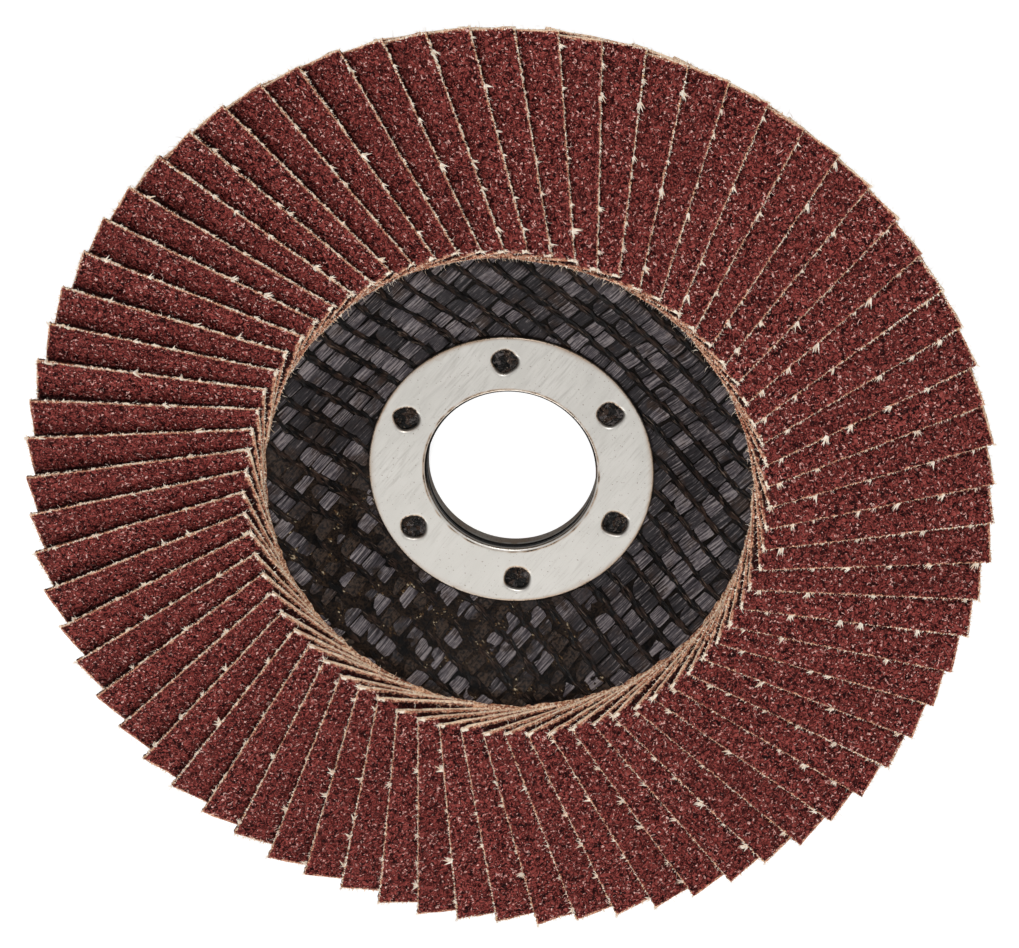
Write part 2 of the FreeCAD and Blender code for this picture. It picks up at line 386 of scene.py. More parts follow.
plate_radius = 57.0 * MM
plate_bore_radius = collar_radius + 0.05 * MM
hub_back = ring_thickness
hub_front = ring_face - ring_thickness
recess_depth = 5.5 * MM
plate_front = hub_front + recess_depth
plate_back = hub_back + recess_depth
dish_foot = ring_radius + 1.75 * MM
flap_inner = 31.863 * MM
dish_top = flap_inner - 2.35 * MM
dish_shift = 0.68 * MM
ply_inner = ring_radius - 0.1 * MM
ply_outer = flap_inner + 0.45 * MM
weave_turn = math.radians(-43)
flood_azimuth = math.radians(236)
hole_count = 6
hole_turn = math.radians(33)
hole_reach = 15.4 * MM
hole_radius = 1.65 * MM
plug_face = hub_front + 0.08 * MM


def dish_height(radius):
    """The height of the plate's front at a distance from the axis."""
    share = min(1.0, max(0.0, (radius - dish_foot) / (dish_top - dish_foot)))
    return hub_front + recess_depth * share


def flood_at(point):
    """How far the resin has flooded the weave at a place: 0 for not at all, 1 for fully."""
    azimuth = math.atan2(point.y, point.x)
    facing = math.cos(azimuth - flood_azimuth)
    patches = noise.noise(Vector((point.x, point.y, 0)) / (5 * MM))
    return 1 - fade(facing + 0.55 * patches, 0.15, 0.95)


def plate_shape(point):
    """Raises the front of the plate into an uneven film of resin between the tows."""
    radius = point.to_2d().length
    on_front = abs(point.z - dish_height(radius)) < 1e-7
    if not on_front or not ply_inner < radius < ply_outer:
        return point
    ripple = noise.noise(point / (0.8 * MM)) * 0.03 * MM
    film = flood_at(point) * (0.17 * MM + 0.26 * MM * noise.noise(point / (1.6 * MM)))
    return point + Vector((0, 0, film + ripple - 0.03 * MM))


def plate_outline():
    """The section of the plate, with close points where the weave shows."""
    back = rounded_outline([
        (plate_bore_radius, hub_back, 0.0),
        (dish_foot + dish_shift, hub_back, 4.4 * MM),
        (dish_top + dish_shift, plate_back, 2.0 * MM),
        (plate_radius, plate_back, 0.3 * MM),
        (plate_radius, plate_front, 0.3 * MM),
    ])
    shelf = [Vector((radius * MM, plate_front)) for radius in (56, 50, 44, 38, 34)]
    close_steps = 42
    close = []
    for step in range(close_steps + 1):
        radius = ply_outer + (ply_inner - ply_outer) * step / close_steps
        close.append(Vector((radius, dish_height(radius))))
    return back + shelf + close + [Vector((plate_bore_radius, hub_front))]


def hole_outline(angle, number):
    """The radius of a punched hole, a little squarish and never the same twice."""
    phase = 0.9 * number
    return hole_radius * (1 + 0.035 * math.cos(4 * angle + phase) + 0.02 * math.cos(3 * angle - phase))


def hole_centre(number):
    """The middle of one of the ring's holes."""
    angle = hole_turn + math.tau * number / hole_count
    return Vector((hole_reach * math.cos(angle), hole_reach * math.sin(angle), 0))


def add_resin_plug(shell, number):
    """A lump of resin that stands up into one hole of the front ring."""
    spokes = 40
    rings = 7
    centre = hole_centre(number)
    loops = []
    for ring in range(rings + 1):
        share = ring / rings
        loop = []
        for spoke in range(spokes):
            angle = math.tau * spoke / spokes
            reach = share * (hole_outline(angle, number) - 0.02 * MM)
            point = centre + Vector((reach * math.cos(angle), reach * math.sin(angle), 0))
            lumps = noise.noise(point / (0.45 * MM)) * 0.20 * MM
            point.z = plug_face + (lumps + 0.06 * MM * (1 - share * share)) * (1 - share ** 6)
            loop.append(point)
        loops.append(loop)
    foot = [Vector((point.x, point.y, hub_front - 0.2 * MM)) for point in loops[-1]]
    loops.append(foot)
    rows = [[shell.verts.new(point) for point in loop] for loop in loops[1:]]
    top = shell.verts.new(loops[0][0])
    for spoke in range(spokes):
        following = (spoke + 1) % spokes
        shell.faces.new((top, rows[0][spoke], rows[0][following]))
        for inner, outer in zip(rows, rows[1:]):
            shell.faces.new((inner[spoke], outer[spoke], outer[following], inner[following]))
    shell.faces.new(rows[-1])


def resin_finish(name, brown, roughness, weave_depth=0.0):
    """Black resin, stained brown in patches, with trapped fibres, small golden flecks that are painted
    glints, and a rough gloss.
    """
    material, tree, surface, where = new_finish(name, shine=0.04)
    flood = written(tree, "stain_and_shade")
    patches = speckle(tree, where, 3.0 * MM, 4.0, 0.65)
    fibres = speckle(tree, stretched(tree, where, weave_turn + math.pi / 2, 1.6 * MM, 0.22 * MM), 1.0)
    fine = speckle(tree, where, 0.35 * MM, 3.0, 0.6)
    fleck_tone = grains(tree, stretched(tree, where, weave_turn, 0.30 * MM, 0.17 * MM), 1.0)
    rich = times(tree, ramp(tree, patches, 0.34, 0.62), ramp(tree, flood, 0.0, 0.7, 0.25, 1.0))
    colour = mix_paint(tree, rich, paint(9, 8, 8), brown)
    colour = tinted(tree, colour, fibres, (0.62, 0.78, 0.0, 0.3), (70, 60, 52))
    colour = tinted(tree, colour, fine, (0.42, 0.53, 0.85, 0.0), (7, 6, 6))
    # Golden flecks on the flooded resin: painted glints.
    chosen = times(tree, parts_of(tree, fleck_tone)[0], rich)
    colour = tinted(tree, colour, chosen, (0.84, 0.93, 0.0, 0.5), (104, 78, 50))
    pale = times(tree, parts_of(tree, fleck_tone)[1], rich)
    colour = tinted(tree, colour, pale, (0.90, 0.94, 0.0, 0.7), (172, 156, 130))
    gloss = ramp(tree, fine, 0.3, 0.7, roughness - 0.12, roughness + 0.15)
    dress(tree, surface, colour, gloss)
    height = times_plus(tree, fibres, 0.5, fine)
    under = relief(tree, surface, height, 0.10 * MM)
    if weave_depth:
        tows = []
        for turn, pitch in ((weave_turn, 3.2 * MM), (weave_turn + math.pi / 2, 2.1 * MM)):
            lines = stretched(tree, where, turn, 1.0, pitch / math.tau)
            across = parts_of(tree, lines)[1]
            tows.append(calc(tree, "ABSOLUTE", calc(tree, "SINE", across)))
        relief(tree, surface, times(tree, *tows), weave_depth, 0.8, under)
    return material


def lump_finish():
    """The resin that came up through the holes: wet black, in broken facets with small painted glints.
    """
    material, tree, surface, where = new_finish("lump_resin", 0.20, 0.12)
    bent = from_node(tree, "ShaderNodeTexNoise", {
        "Vector": where, "Scale": 1 / (0.9 * MM), "Detail": 3.0, "Distortion": 2.2,
    })
    tone = parts_of(tree, grains(tree, where, 0.75 * MM))
    fine = speckle(tree, where, 0.25 * MM, 2.0)
    colour = two_tone(tree, tone[0], (0.3, 0.95), (9, 8, 8), (84, 78, 77))
    colour = tinted(tree, colour, tone[2], (0.55, 0.65, 0.0, 0.8), (54, 38, 28))
    colour = tinted(tree, colour, bent, (0.42, 0.55, 0.95, 0.0), (8, 7, 6))
    # Small pale specks: painted glints.
    colour = tinted(tree, colour, fine, (0.66, 0.72, 0.0, 0.8), (140, 124, 108))
    dress(tree, surface, colour)
    relief(tree, surface, times_plus(tree, tone[1], 0.5, bent), 0.5 * MM)
    return material


front_resin = resin_finish("plate_resin", paint(42, 32, 25), 0.40)
back_resin = resin_finish("plate_back_resin", paint(40, 33, 29), 0.5, 0.25 * MM)
plate_mesh = turned_mesh("plate_laminate", plate_outline(), plate_shape)
plate_shell = bmesh.new()
plate_shell.from_mesh(plate_mesh)
for face in plate_shell.faces:
    face.material_index = 1 if face.normal.z < -0.2 else 0
plate_face_count = len(plate_shell.faces)
for hole in range(hole_count):
    add_resin_plug(plate_shell, hole)
bmesh.ops.recalc_face_normals(plate_shell, faces=plate_shell.faces)
plate_shell.faces.ensure_lookup_table()
for face in plate_shell.faces[plate_face_count:]:
    face.material_index = 2
plate_shell.to_mesh(plate_mesh)
plate_shell.free()
smooth_by_angle(plate_mesh)
write_stain_and_shade(plate_mesh, flood_at)
plate_mesh.materials.append(front_resin)
plate_mesh.materials.append(back_resin)
plate_mesh.materials.append(lump_finish())
place_piece("plate_laminate", plate_mesh, ["backing_plate"])

# The top ply: glass cloth moulded into the face of the plate. Flat tows run one way, and
# twisted pairs of thin yarn hold them down across, with dark openings between the pair.

tow_pitch = 2.1 * MM
yarn_pitch = 3.2 * MM
tow_width = 1.97 * MM
tow_block_length = 2.5 * MM
tow_depth = 0.5 * MM
yarn_radius = 0.25 * MM
yarn_flatness = 0.45
ply_seed = 7


def new_tree(name, sizes):
    """A node tree with named inputs; gives the tree, its inputs and its output node."""
    tree = bpy.data.node_groups.new(name, "GeometryNodeTree")
    for title, kind in sizes:
        tree.interface.new_socket(name=title, in_out="INPUT", socket_type=f"NodeSocket{kind}")
    tree.interface.new_socket(name="Geometry", in_out="OUTPUT", socket_type="NodeSocketGeometry")
    given = tree.nodes.new("NodeGroupInput")
    result = tree.nodes.new("NodeGroupOutput")
    return tree, given.outputs, result


def mesh_from_tree(name, tree, sizes):
    """Runs a tree with the given sizes and gives what it makes as a plain mesh."""
    holder = bpy.data.objects.new(name, bpy.data.meshes.new(name))
    bpy.context.scene.collection.objects.link(holder)
    modifier = holder.modifiers.new(name, "NODES")
    modifier.node_group = tree
    for item in tree.interface.items_tree:
        if item.in_out == "INPUT" and item.name in sizes:
            modifier[item.identifier] = sizes[item.name]
    evaluated = holder.evaluated_get(bpy.context.evaluated_depsgraph_get())
    mesh = bpy.data.meshes.new_from_object(evaluated)
    mesh.name = name
    holder.modifiers.remove(modifier)
    bpy.data.objects.remove(holder)
    return mesh


def field_of(tree, low, high, seed, key=None):
    """Random values between low and high, one for each element, or one only with a key."""
    kind = "FLOAT_VECTOR" if isinstance(low, tuple) else "FLOAT"
    node = add_node(tree, "FunctionNodeRandomValue", {"Min": low, "Max": high, "Seed": seed},
                    data_type=kind)
    if key is not None:
        number = add_node(tree, "FunctionNodeInputInt", integer=key)
        plug(tree, number.outputs[0], next(item for item in node.inputs if item.name == "ID"))
    return next(item for item in node.outputs if item.enabled)


def vector_of(tree, across=0.0, along=0.0, up=0.0):
    """A vector from three numbers or sockets."""
    return from_node(tree, "ShaderNodeCombineXYZ", {0: across, 1: along, 2: up})


def place_of(tree):
    """The position of each point, as three numbers."""
    return parts_of(tree, tree.nodes.new("GeometryNodeInputPosition").outputs[0])


def moved(tree, geometry, offset):
    """The geometry with each point moved by its own offset."""
    return from_node(tree, "GeometryNodeSetPosition", {"Geometry": geometry, "Offset": offset})


def named(tree, geometry, name, value, domain="POINT"):
    """The geometry with a value written on it under a name."""
    return from_node(tree, "GeometryNodeStoreNamedAttribute", {
        "Geometry": geometry, "Name": name, "Value": value,
    }, data_type="FLOAT", domain=domain)


def spread(tree, points, instance, rotation, scale):
    """Copies of one shape on points, joined into one mesh, each with a shade of its own."""
    node = add_node(tree, "GeometryNodeInstanceOnPoints", {
        "Points": points, "Instance": instance, "Rotation": rotation, "Scale": scale,
    })
    shaded = named(tree, node.outputs[0], "shade", field_of(tree, 0.0, 1.0, 3), "INSTANCE")
    return from_node(tree, "GeometryNodeRealizeInstances", {"Geometry": shaded})


def joined(tree, *parts):
    """Several geometries as one."""
    node = tree.nodes.new("GeometryNodeJoinGeometry")
    for part in parts:
        tree.links.new(part, node.inputs[0])
    return node.outputs[0]


def finished(tree, geometry, material, selection=True):
    """The geometry with a material, or with it on the chosen faces only."""
    return from_node(tree, "GeometryNodeSetMaterial", {
        "Geometry": geometry, "Selection": selection, "Material": material,
    })


def without(tree, geometry, selection):
    """The geometry with the chosen points removed."""
    return from_node(tree, "GeometryNodeDeleteGeometry", {
        "Geometry": geometry, "Selection": selection,
    }, domain="POINT")


def tow_block(tree):
    """One visible stretch of a flat tow: a low slab that dips at both ends."""
    block = from_node(tree, "GeometryNodeMeshCube", {
        "Size": (tow_width, tow_block_length, tow_depth),
        "Vertices X": 5, "Vertices Y": 8, "Vertices Z": 2,
    })
    across, along = place_of(tree)[:2]
    share = calc(tree, "ABSOLUTE", calc(tree, "DIVIDE", across, tow_width / 2))
    spacing = calc(tree, "POWER", calc(tree, "MAXIMUM", share, 0.1), -0.62)
    wider = times(tree, across, minus(tree, spacing, 1.0))
    block = moved(tree, block, vector_of(tree, wider))
    reach = calc(tree, "ABSOLUTE", calc(tree, "DIVIDE", along, tow_block_length / 2))
    arch = calc(tree, "POWER", reach, 7.0)
    crown = calc(tree, "GREATER_THAN", share, 0.9)
    drop = times_plus(tree, arch, -0.26 * MM, times(tree, crown, -0.08 * MM))
    return moved(tree, block, vector_of(tree, up=drop))


def radius_of(tree):
    """The distance of each point from the axis."""
    across, along = place_of(tree)[:2]
    return calc(tree, "SQRT", plus(tree, times(tree, across, across), times(tree, along, along)))


def outside_ply(tree, inner, outer):
    """True for points outside the ring where the weave shows."""
    radius = radius_of(tree)
    low = calc(tree, "LESS_THAN", radius, inner)
    high = calc(tree, "GREATER_THAN", radius, outer)
    return plus(tree, low, high)


def turned(tree, geometry, rotation, offset=(0.0, 0.0, 0.0)):
    """The geometry turned about the origin and then shifted."""
    return from_node(tree, "GeometryNodeTransform", {
        "Geometry": geometry, "Translation": offset, "Rotation": rotation,
    })


def creased(tree, geometry, limit):
    """The geometry shaded smooth, apart from edges that turn more than the limit."""
    smooth = from_node(tree, "GeometryNodeSetShadeSmooth", {"Geometry": geometry})
    bend = tree.nodes.new("GeometryNodeInputMeshEdgeAngle").outputs[0]
    return from_node(tree, "GeometryNodeSetShadeSmooth", {
        "Geometry": smooth, "Selection": calc(tree, "GREATER_THAN", bend, limit),
        "Shade Smooth": False,
    }, domain="EDGE")


def make_ply_tree():
    """The tree for the woven ply: tows, yarn pairs, and the dish that they are pressed to."""
    tree, given, result = new_tree("woven_ply", [
        ("Inner radius", "Float"), ("Outer radius", "Float"), ("Dish foot", "Float"),
        ("Dish top", "Float"), ("Hub height", "Float"), ("Recess depth", "Float"),
        ("Turn", "Float"), ("Seed", "Int"), ("Tow finish", "Material"), ("Yarn finish", "Material"),
    ])
    seed = given["Seed"]
    reach = ply_outer + 2 * tow_pitch
    tow_count = 2 * math.ceil(reach / tow_pitch) + 1
    row_count = 2 * math.ceil(reach / yarn_pitch) + 1
    spots = from_node(tree, "GeometryNodeMeshGrid", {
        "Size X": (tow_count - 1) * tow_pitch, "Size Y": (row_count - 1) * yarn_pitch,
        "Vertices X": tow_count, "Vertices Y": row_count,
    })
    far = outside_ply(tree, minus(tree, given["Inner radius"], 1.0 * MM),
                      plus(tree, given["Outer radius"], 0.2 * MM))
    spots = without(tree, spots, far)
    shuffle = field_of(tree, (-0.14 * MM, -0.16 * MM, -0.15 * MM), (0.14 * MM, 0.16 * MM, 0.09 * MM),
                       seed)
    spots = moved(tree, spots, shuffle)
    tilt = field_of(tree, (-0.06, -0.26, -0.08), (0.14, 0.03, 0.08), plus(tree, seed, 1))
    grow = field_of(tree, (0.84, 0.86, 0.9), (1.10, 1.14, 1.1), plus(tree, seed, 2))
    tows = finished(tree, spread(tree, spots, tow_block(tree), tilt, grow), given["Tow finish"])

    yarn_step = tow_pitch / 5
    line = from_node(tree, "GeometryNodeMeshLine", {
        "Count": int(2 * reach / yarn_step), "Start Location": (-reach, 0.0, 0.0),
        "Offset": (yarn_step, 0.0, 0.0),
    })
    rows = from_node(tree, "GeometryNodeMeshLine", {
        "Count": row_count - 1, "Start Location": (0.0, -(row_count - 2) / 2 * yarn_pitch, 0.0),
        "Offset": (0.0, yarn_pitch, 0.0),
    })
    strands = []
    for side in (-1.0, 1.0):
        laid = spread(tree, rows, line, (0.0, 0.0, 0.0), (1.0, 1.0, 1.0))
        across, along = place_of(tree)[:2]
        drift = from_node(tree, "ShaderNodeTexNoise", {
            "Vector": vector_of(tree, across, along, side * MM), "Scale": 160.0, "Detail": 1.0,
        })
        phase = times_plus(tree, drift, 6.0, times(tree, across, math.pi / tow_pitch))
        swing = ramp(tree, drift, 0.35, 0.65, 0.14 * MM, 0.38 * MM)
        sideways = times(tree, calc(tree, "COSINE", phase), times(tree, swing, side))
        height = times_plus(tree, calc(tree, "SINE", phase), side * 0.05 * MM, 0.05 * MM)
        laid = moved(tree, laid, vector_of(tree, 0.0, sideways, height))
        far = outside_ply(tree, given["Inner radius"], given["Outer radius"])
        laid = without(tree, laid, far)
        path = from_node(tree, "GeometryNodeMeshToCurve", {"Mesh": laid})
        path = from_node(tree, "GeometryNodeSetCurveNormal", {"Curve": path}, mode="Z_UP")
        section = from_node(tree, "GeometryNodeCurvePrimitiveCircle", {
            "Resolution": 7, "Radius": yarn_radius,
        })
        section = from_node(tree, "GeometryNodeTransform", {
            "Geometry": section, "Scale": (1.0, yarn_flatness, 1.0),
        })
        strand = from_node(tree, "GeometryNodeCurveToMesh", {
            "Curve": path, "Profile Curve": section, "Fill Caps": True,
        })
        strands.append(finished(tree, strand, given["Yarn finish"]))

    ply = joined(tree, tows, *strands)
    radius = radius_of(tree)
    pressed = ramp(tree, radius, plus(tree, given["Inner radius"], 0.05 * MM),
                   plus(tree, given["Inner radius"], 0.5 * MM), -1.0, 0.0)
    share = ramp(tree, radius, given["Dish foot"], given["Dish top"], kind="LINEAR")
    rise = times_plus(tree, share, given["Recess depth"], given["Hub height"])
    lowered = times_plus(tree, pressed, plus(tree, place_of(tree)[2], 0.1 * MM), rise)
    ply = moved(tree, ply, vector_of(tree, up=lowered))
    ply = turned(tree, ply, vector_of(tree, up=given["Turn"]))
    tree.links.new(creased(tree, ply, math.radians(24)), result.inputs[0])
    return tree


def tow_finish():
    """Glass fibres soaked in dark resin: fine lines along the tow, some blocks and streaks lighter
    with painted sheen.
    """
    material, tree, surface, where = new_finish("glass_tow", shine=0.09)
    shade = written(tree, "shade")
    along_tow = stretched(tree, where, weave_turn + math.pi / 2, 3.2 * MM, 0.17 * MM)
    lines = speckle(tree, along_tow, 1.0, 2.0)
    patches = speckle(tree, where, 2.6 * MM, 3.0)
    fine = speckle(tree, where, 0.4 * MM, 2.0)
    colour = two_tone(tree, shade, (0.1, 1.0), (38, 35, 37), (72, 66, 70))
    brown = ramp(tree, patches, 0.52, 0.70, 0.0, 0.75)
    colour = mix_paint(tree, brown, colour, paint(50, 37, 30))
    soaked = times_plus(tree, patches, 0.7, times(tree, shade, -0.55))
    soaked = times(tree, written(tree, "stain_and_shade"), ramp(tree, soaked, 0.0, 0.16, 0.0, 0.95))
    drowned = two_tone(tree, fine, (0.36, 0.62), (17, 13, 11), (60, 47, 38))
    colour = mix_paint(tree, soaked, colour, drowned)
    # Painted sheen: some blocks and streaks along the fibres are lightened as if they caught the
    # light.
    lit = times_plus(tree, shade, 0.16, times_plus(tree, fine, 0.25, lines))
    lit = minus(tree, lit, times(tree, soaked, 0.20))
    colour = tinted(tree, colour, lit, (0.68, 0.98, 0.0, 0.72), (146, 137, 136))
    gaps = ramp(tree, lines, 0.34, 0.46, 0.72, 0.0)
    colour = mix_paint(tree, gaps, colour, paint(12, 11, 12))
    dress(tree, surface, colour, ramp(tree, shade, 0.0, 1.0, 0.50, 0.30))
    relief(tree, surface, times_plus(tree, fine, 0.6, lines), 0.12 * MM)
    return material


def yarn_finish():
    """Thin glass yarn buried in brown resin, with pale painted glints along its lines."""
    material, tree, surface, where = new_finish("glass_yarn", shine=0.07)
    lines = speckle(tree, stretched(tree, where, weave_turn, 1.2 * MM, 0.16 * MM), 1.0, 2.0)
    patches = speckle(tree, where, 1.4 * MM, 3.0)
    colour = two_tone(tree, patches, (0.42, 0.66), (14, 12, 12), (46, 33, 27))
    # Pale streaks along the yarn: painted glints.
    colour = tinted(tree, colour, lines, (0.60, 0.72, 0.0, 0.6), (112, 96, 84))
    colour = tinted(tree, colour, lines, (0.38, 0.48, 0.85, 0.0), (7, 6, 6))
    dress(tree, surface, colour, ramp(tree, patches, 0.3, 0.7, 0.32, 0.55))
    relief(tree, surface, lines, 0.10 * MM)
    return material


ply_mesh = mesh_from_tree("woven_ply", make_ply_tree(), {
    "Inner radius": ply_inner,
    "Outer radius": ply_outer - 0.1 * MM,
    "Dish foot": dish_foot,
    "Dish top": dish_top,
    "Hub height": hub_front,
    "Recess depth": recess_depth,
    "Turn": weave_turn,
    "Seed": ply_seed,
    "Tow finish": tow_finish(),
    "Yarn finish": yarn_finish(),
})
write_stain_and_shade(ply_mesh, flood_at)
place_piece("woven_ply", ply_mesh)

# The front ring: pressed from the same plated sheet, with a rolled lip and a short collar at
# the bore. Its six punched holes key it to the resin of the plate.

lip_radius = 0.42 * MM
collar_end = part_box("front_ring")[0].z
flat_inner = 11.8 * MM
flat_outer = ring_radius - 0.3 * MM
arc_steps = TURN_STEPS // hole_count
side_steps = 14


def sector_edge():
    """The edge of one sixth of the ring's flat, as radius and angle from its hole."""
    half = math.pi / hole_count
    edge = []
    for step in range(arc_steps):
        edge.append((flat_inner, -half + 2 * half * step / arc_steps))
    for step in range(side_steps):
        edge.append((flat_inner + (flat_outer - flat_inner) * step / side_steps, half))
    for step in range(arc_steps):
        edge.append((flat_outer, half - 2 * half * step / arc_steps))
    for step in range(side_steps):
        edge.append((flat_outer + (flat_inner - flat_outer) * step / side_steps, -half))
    return edge


def upper_side(away):
    """1 on the upper left side of a hole, where its edge is sharp and darker with a brown stain and
    painted shade, and 0 opposite.
    """
    return fade(-away.normalized().dot(Vector((-0.5, 0.86))), -0.2, 0.4)


def add_pierced_flat(shell, number, height, edge_drops):
    """One sixth of a flat face round its hole. edge_drops are steps out from the hole's edge."""
    centre = hole_centre(number)
    turn = hole_turn + math.tau * number / hole_count
    rows = []
    far_steps = 7
    edge = [Vector((reach * math.cos(turn + angle), reach * math.sin(turn + angle), 0))
            for reach, angle in sector_edge()]
    for offset, drop in edge_drops:
        row = []
        for target in edge:
            away = target - centre
            bearing = math.atan2(away.y, away.x)
            reach = hole_outline(bearing, number) + offset
            rolled = drop * (1 - 0.9 * upper_side(away.to_2d()))
            level = Vector((0, 0, height - rolled))
            row.append(shell.verts.new(centre + away.normalized() * reach + level))
        rows.append(row)
    last = [vertex.co.copy() for vertex in rows[-1]]
    for step in range(1, far_steps + 1):
        share = (step / far_steps) ** 1.4
        row = []
        for start, target in zip(last, edge):
            point = start.lerp(target, share)
            row.append(shell.verts.new((point.x, point.y, height)))
        rows.append(row)
    count = len(edge)
    for inner, outer in zip(rows, rows[1:]):
        for index in range(count):
            following = (index + 1) % count
            shell.faces.new((inner[index], inner[following], outer[following], outer[index]))
    return rows[0]


def add_turned_band(shell, outline):
    """An open band turned about Z, with the same steps as the pierced flats."""
    rows = []
    for step in range(TURN_STEPS):
        angle = hole_turn - math.pi / hole_count + math.tau * step / TURN_STEPS
        rows.append([shell.verts.new((across * math.cos(angle), across * math.sin(angle), up))
                     for across, up in outline])
    for here, there in zip(rows, rows[1:] + rows[:1]):
        for index in range(len(outline) - 1):
            shell.faces.new((here[index], here[index + 1], there[index + 1], there[index]))


def make_front_ring():
    """The front ring as one closed shell."""
    shell = bmesh.new()
    rolled_in = [
        (0.0, 0.38), (0.04, 0.25), (0.11, 0.14), (0.22, 0.06), (0.38, 0.0), (0.50, 0.0), (0.75, 0.0),
    ]
    top_edge = [(offset * MM, drop * MM) for offset, drop in rolled_in]
    for number in range(hole_count):
        top = add_pierced_flat(shell, number, ring_face, top_edge)
        bottom = add_pierced_flat(shell, number, hub_front, [(0.0, 0.0)])
        for index in range(len(top)):
            following = (index + 1) % len(top)
            shell.faces.new((top[index], top[following], bottom[following], bottom[index]))
    bore = rounded_outline([
        (flat_inner, ring_face, 0.0),
        (bore_radius, ring_face, lip_radius),
        (bore_radius, ring_face - 0.47 * MM, 0.0),
        (bore_radius, ring_face - 0.58 * MM, 0.0),
        (bore_radius, collar_end, 0.08 * MM),
        (collar_radius, collar_end, 0.08 * MM),
        (collar_radius, hub_front, 0.0),
        (flat_inner, hub_front, 0.0),
    ], 10)
    rim = rounded_outline([
        (flat_outer, ring_face, 0.0),
        (ring_radius, ring_face, pressed_edge),
        (ring_radius, hub_front, 0.05 * MM),
        (flat_outer, hub_front, 0.0),
    ])
    add_turned_band(shell, bore)
    add_turned_band(shell, rim)
    bmesh.ops.remove_doubles(shell, verts=shell.verts, dist=1e-8)
    bmesh.ops.recalc_face_normals(shell, faces=shell.faces)
    mesh = bpy.data.meshes.new("front_ring_steel")
    shell.to_mesh(mesh)
    shell.free()
    return mesh


def front_stain_and_shade(point):
    """Stains lie round the holes and at the rim, with a darker line at the fold of the lip. Painted
    shade darkens the upper left edges of the holes, a line on the lip's roll, the upper side of the
    roll, and everything more than about half a millimetre under the face, down the bore to the gap
    between the collars.
    """
    radius = point.to_2d().length
    number = min(range(hole_count), key=lambda number: (point - hole_centre(number)).to_2d().length)
    from_hole = (point - hole_centre(number)).to_2d()
    off_edge = from_hole.length - hole_outline(math.atan2(from_hole.y, from_hole.x), number)
    patchy = 0.5 + 0.9 * noise.noise(point / (3 * MM))
    hole_stain_and_shade = 0.5 * patchy * fade(abs(off_edge - 0.10 * MM), 0.05 * MM, 0.24 * MM)
    # The upper left edge of each hole: a brown staining that goes over into painted shade where the
    # edge drops into the hole.
    hole_stain_and_shade = max(hole_stain_and_shade, 0.9 * upper_side(from_hole) * fade(off_edge, 0.06 * MM, 0.26 * MM))
    at_rim = 0.62 + 0.4 * patchy * noise.noise(point / (0.9 * MM))
    at_rim *= fade(ring_radius - radius, 0.0, 0.6 * MM)
    streak = noise.noise(Vector((point.x, point.y, 0)) / (1.2 * MM))
    on_crease = (0.70 + 0.9 * streak) * fade(abs(radius - bore_radius - lip_radius), 0.0, 0.11 * MM)
    # Painted shade: a dark line through the lip's roll, dimming its highlight.
    lip_shade_line = (0.85 + 0.3 * streak) * fade(abs(radius - bore_radius - 0.10 * MM), 0.03 * MM, 0.08 * MM)
    # Painted shade: black more than about half a millimetre under the face, down the bore to the gap
    # between the collars and on the ring's lower side.
    in_bore = 1.7 * fade(ring_face - point.z, 0.57 * MM, 0.48 * MM)
    # Painted shade: the inner part of the lip's roll on the upper side of the bore, painted black
    # where the roll turns away.
    far_side = fade(-math.cos(math.atan2(point.y, point.x) - math.radians(100)), -0.2, 0.35)
    far_roll_shade = 1.7 * far_side * fade(radius - bore_radius, 0.20 * MM, 0.32 * MM)
    return max(hole_stain_and_shade, at_rim, on_crease, lip_shade_line, in_bore, far_roll_shade)


front_mesh = make_front_ring()
smooth_by_angle(front_mesh)
write_stain_and_shade(front_mesh, front_stain_and_shade)
front_mesh.materials.append(steel)
place_piece("front_ring_steel", front_mesh, ["front_ring"])

# The glue bed: a ring of brown glue laid on the flat of the plate and cured round the flaps'
# sunk edges. It is seen only from the side, as an uneven bead.

glue_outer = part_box("glue_bed")[1].x
glue_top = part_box("glue_bed")[1].z
glue_inner = flap_inner + 0.5 * MM


def glue_shape(point):
    """Makes the edges of the glue run in and out a little."""
    radius = point.to_2d().length
    if radius < flap_inner + 0.2 * MM:
        bumps = noise.noise(point / (1.1 * MM)) + noise.noise(point / (2.9 * MM))
        run = 1 + 0.006 * bumps
        return Vector((point.x * run, point.y * run, point.z))
    if radius < glue_outer - 1.5 * MM:
        return point
    run = 1 - 0.0035 * (1 + noise.noise(point / (3 * MM)))
    return Vector((point.x * run, point.y * run, point.z))


def glue_finish():
    """Cured glue: brown and cloudy, with the lint of the cloth stuck in it."""
    material, tree, surface, where = new_finish("brown_glue", 0.4, 0.15)
    clouds = speckle(tree, where, 2.2 * MM, 4.0)
    fine = speckle(tree, where, 0.32 * MM, 3.0, 0.6)
    colour = two_tone(tree, clouds, (0.35, 0.65), (168, 106, 78), (224, 172, 134))
    colour = tinted(tree, colour, fine, (0.51, 0.60, 0.0, 0.9), (252, 226, 198))
    colour = tinted(tree, colour, fine, (0.38, 0.47, 0.85, 0.0), (98, 42, 32))
    dress(tree, surface, colour, ramp(tree, fine, 0.3, 0.7, 0.5, 0.8))
    relief(tree, surface, fine, 0.3 * MM)
    return material


